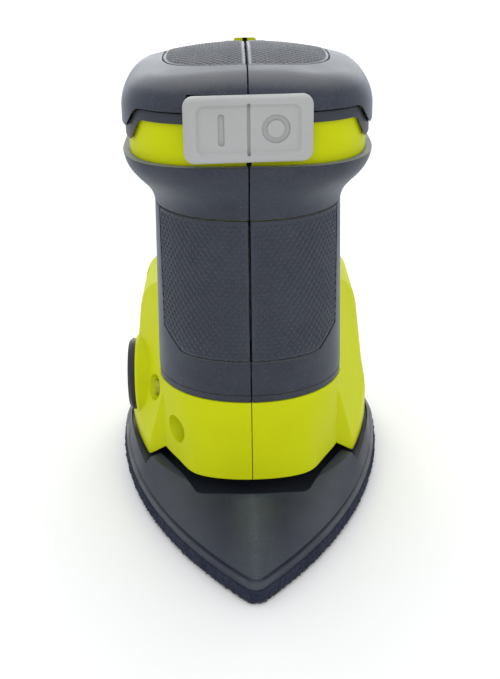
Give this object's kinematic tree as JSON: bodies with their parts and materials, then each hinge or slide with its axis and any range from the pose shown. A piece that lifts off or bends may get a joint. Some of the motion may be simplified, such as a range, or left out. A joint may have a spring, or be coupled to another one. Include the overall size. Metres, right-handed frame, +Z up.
{
  "type": "orbital sander",
  "caption": "Compact cordless detail sander: iron-shaped orbiting base under a lime body, gripped by its dark neck, with a rocker switch on the head.",
  "frame": {"origin": "where the motor axis meets the sanding face", "axes": "+Z up along the motor axis, -Y towards the nose of the pad, +X to the right when looking at the nose"},
  "size_m": [0.0998, 0.1598, 0.1576],
  "materials": {
    "lime_shell": "satin moulded plastic, lime green",
    "grip": "matte slate soft grip",
    "texture": "matte diamond-textured soft grip",
    "trim": "matte slate trim",
    "rocker": "satin light grey plastic",
    "base": "satin dark plastic with dust in the grain",
    "foam": "closed-cell foam",
    "hook": "short hook pile",
    "black_plastic": "satin black plastic",
    "steel": "machined steel",
    "zinc": "zinc-plated steel",
    "bronze": "sintered bronze",
    "copper": "copper",
    "magnet": "sintered ferrite",
    "carbon": "carbon brush",
    "leg_rubber": "natural rubber",
    "lead": "insulated lead"
  },
  "bodies": {
    "housing": {"housing_left": "lime_shell", "neck_grip_left": "grip", "neck_panel_left": "texture", "flare_grip_left": "grip", "head_cap_left": "grip", "top_panel_left": "texture", "housing_right": "lime_shell", "neck_grip_right": "grip", "neck_panel_right": "texture", "flare_grip_right": "grip", "head_cap_right": "grip", "top_panel_right": "texture", "front_bezel": "trim", "spine_strip": "lime_shell", "switch_body": "black_plastic", "switch_terminals": "copper", "motor_can": "zinc", "motor_magnets": "magnet", "motor_end_cap": "black_plastic", "motor_brushes": "carbon", "motor_terminals": "copper", "motor_bushes": "bronze", "motor_plate": "black_plastic", "motor_screws": "steel", "flex_legs": "leg_rubber", "dust_shroud": "black_plastic", "dust_duct": "black_plastic", "dust_port": "black_plastic", "housing_screws": "steel", "battery_dock": "black_plastic", "battery_blades": "copper", "motor_leads": "lead", "supply_leads": "lead"},
    "rotor": {"motor_shaft": "steel", "armature": "copper", "commutator": "copper", "fan": "black_plastic", "eccentric": "zinc", "bearing_inner": "steel", "bearing_screw": "steel"},
    "base": {"bearing_outer": "steel", "bearing_balls": "steel", "platen": "base", "foam_pad": "foam", "hook_layer": "hook"},
    "rocker": {"switch_rocker": "rocker"}
  },
  "joints": [
    {"name": "spindle_spin", "type": "hinge", "parent": "housing", "child": "rotor", "pos_m": [0, 0, 0.05], "axis": [0, 0, 1], "continuous": true},
    {"name": "base_orbit", "type": "hinge", "parent": "rotor", "child": "base", "pos_m": [0, 0.001, 0.02], "axis": [0, 0, 1], "continuous": true},
    {"name": "rocker_tip", "type": "hinge", "parent": "housing", "child": "rocker", "pos_m": [0, -0.0359, 0.14], "axis": [0, 0, -1], "range_deg": [0, 8]}
  ],
  "couplings": [
    {"joint": "base_orbit", "follows": "spindle_spin", "ratio": -1}
  ]
}
